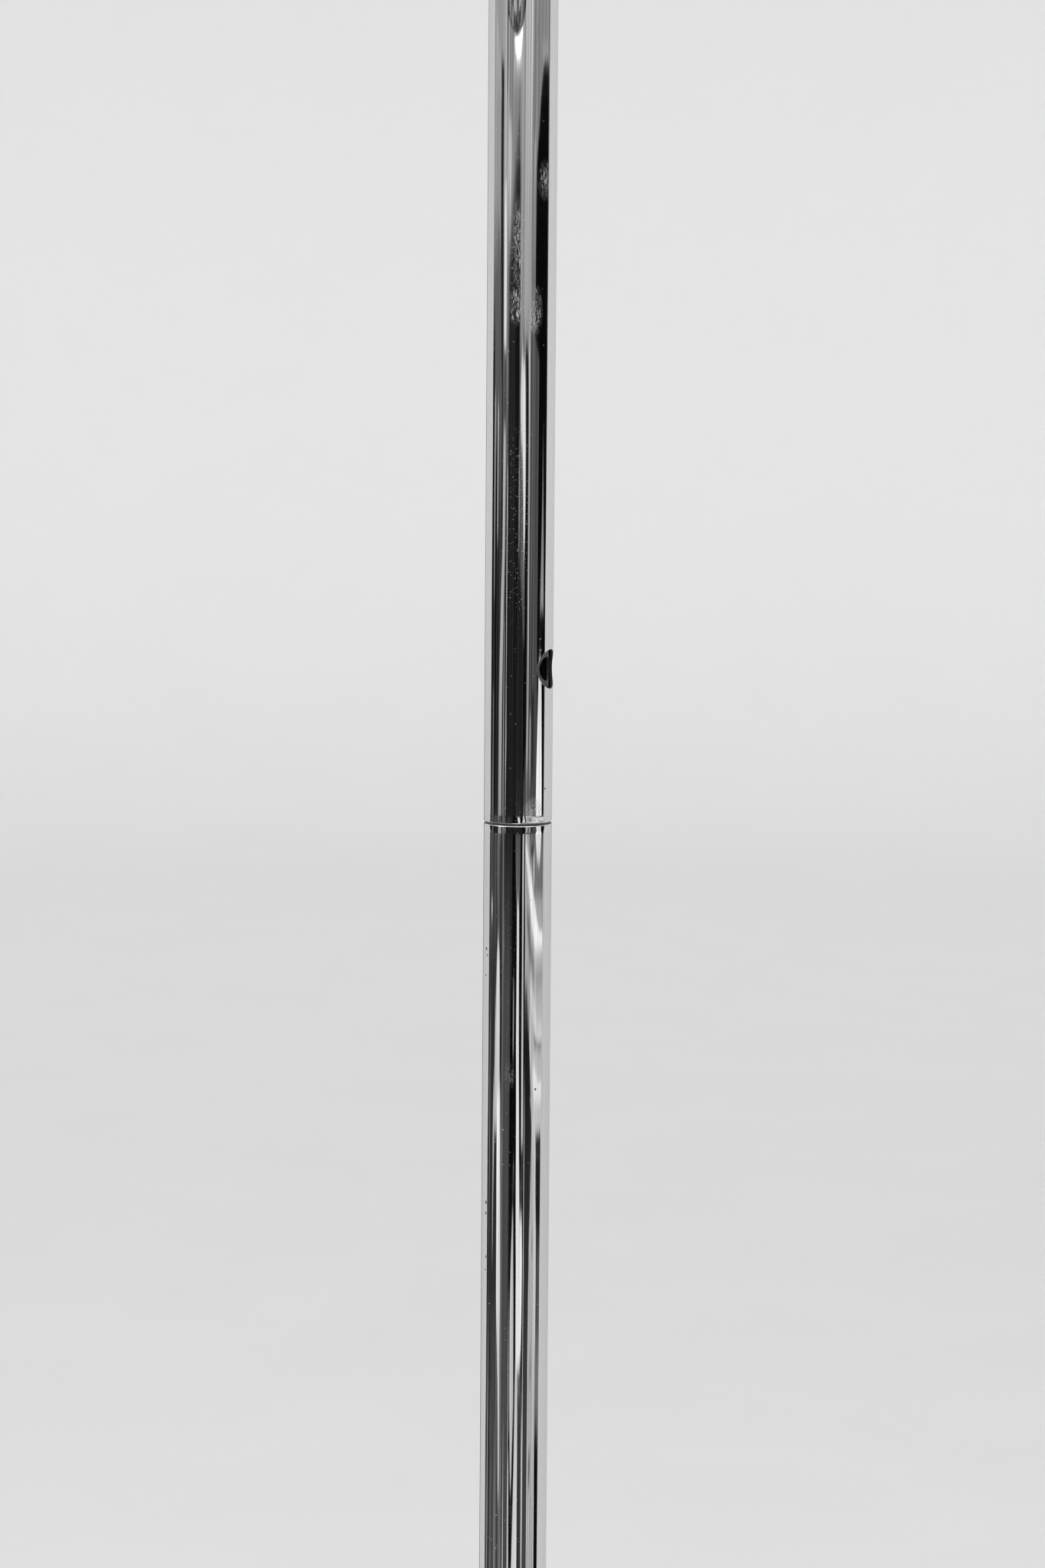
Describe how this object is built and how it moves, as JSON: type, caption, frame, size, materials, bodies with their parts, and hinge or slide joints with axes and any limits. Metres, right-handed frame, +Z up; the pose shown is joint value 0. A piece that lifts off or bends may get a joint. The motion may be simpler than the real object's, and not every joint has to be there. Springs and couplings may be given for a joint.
{
  "type": "telescopic floor lamp",
  "caption": "Free-standing chrome floor lamp: sliding mast with a snap lock behind a finger hole, swivelling arm, tilting half-round shade, weighted round base with a cord inlet.",
  "frame": {"origin": "on the floor, at the middle of the base's underside, under the pole's axis", "axes": "+Z up along the pole, -Y along the arm at rest, +X out of the finger hole"},
  "size_m": [0.28, 0.475, 1.456],
  "materials": {
    "pole_chrome": "bright chrome plate, old: fine pits, faint scratches and finger marks",
    "fitting_chrome": "polished chrome plate on turned steel",
    "base_chrome": "polished chrome plate on spun steel, light scuffs",
    "shade_chrome": "polished chrome plate outside, white enamel inside",
    "cast_weight": "sand cast, black primer",
    "felt": "pressed wool felt",
    "zinc_steel": "dull zinc plate",
    "dark_steel": "blackened steel, oiled",
    "black_enamel": "satin black enamel",
    "spring_steel": "blued spring steel",
    "acetal": "natural moulded bush plastic",
    "fibre": "vulcanised fibre",
    "black_rubber": "moulded rubber",
    "phenolic": "moulded black phenolic",
    "contact_brass": "rolled brass",
    "bulb_metal": "rolled screw cap",
    "opal_glass": "opal glass"
  },
  "bodies": {
    "stand": {"base_felt": "felt", "base_weight": "cast_weight", "base_cover": "base_chrome", "cord_grommet": "black_rubber", "base_stud": "zinc_steel", "stud_washer": "zinc_steel", "stud_nut": "zinc_steel", "earth_screw": "contact_brass", "foot_collar": "fitting_chrome", "pole_foot_plug": "zinc_steel", "lower_tube": "pole_chrome", "stop_bush": "dark_steel", "column_foot_bush": "dark_steel", "column_pins": "zinc_steel", "inner_column": "black_enamel", "guide_bush": "acetal", "guide_pin": "zinc_steel", "lock_spring": "spring_steel"},
    "lock_button": {"lock_button": "fitting_chrome"},
    "mast": {"upper_tube": "pole_chrome", "lock_sleeve": "dark_steel", "mast_plug": "fitting_chrome", "swivel_stop_pin": "zinc_steel", "swivel_washer": "zinc_steel", "swivel_nut": "zinc_steel"},
    "arm": {"arm_hub": "fitting_chrome", "hub_cap": "fitting_chrome", "arm_grub_screw": "dark_steel", "arm_tube": "fitting_chrome", "arm_fork": "fitting_chrome", "tilt_bolt": "fitting_chrome", "friction_washers": "fibre", "knob_washer": "fitting_chrome"},
    "tilt_knob": {"tilt_knob": "fitting_chrome"},
    "head": {"tilt_eye": "fitting_chrome", "holder_cup": "fitting_chrome", "holder_nipple": "zinc_steel", "lampholder_cap": "phenolic", "lampholder_body": "phenolic", "screw_shell": "contact_brass", "centre_contact": "contact_brass", "shade": "shade_chrome", "shade_ring": "phenolic", "bulb_cap": "bulb_metal", "bulb_glass": "opal_glass", "switch_body": "phenolic", "switch_nut": "fitting_chrome"},
    "switch_knob": {"switch_knob": "phenolic"}
  },
  "joints": [
    {"name": "mast_slide", "type": "slide", "parent": "stand", "child": "mast", "axis": [0, 0, 1], "range_m": [0, 0.35]},
    {"name": "lock_button_press", "type": "slide", "parent": "stand", "child": "lock_button", "axis": [1, 0, 0], "range_m": [-0.00135, 0], "stiffness_N_per_m": 3000, "springref_m": 0.0005, "deforming": ["lock_spring"]},
    {"name": "arm_swivel", "type": "hinge", "parent": "mast", "child": "arm", "pos_m": [0, 0, 1.4028], "axis": [0, 0, 1], "range_deg": [-170, 170]},
    {"name": "shade_tilt", "type": "hinge", "parent": "arm", "child": "head", "pos_m": [0, -0.22, 1.424], "axis": [-1, 0, 0], "range_deg": [-30, 90]},
    {"name": "tilt_knob_turn", "type": "hinge", "parent": "arm", "child": "tilt_knob", "pos_m": [0, -0.22, 1.424], "axis": [1, 0, 0], "range_deg": [0, 270]},
    {"name": "switch_turn", "type": "hinge", "parent": "head", "child": "switch_knob", "pos_m": [0, -0.22, 1.381], "axis": [0, -1, 0], "range_deg": [0, 90]}
  ]
}
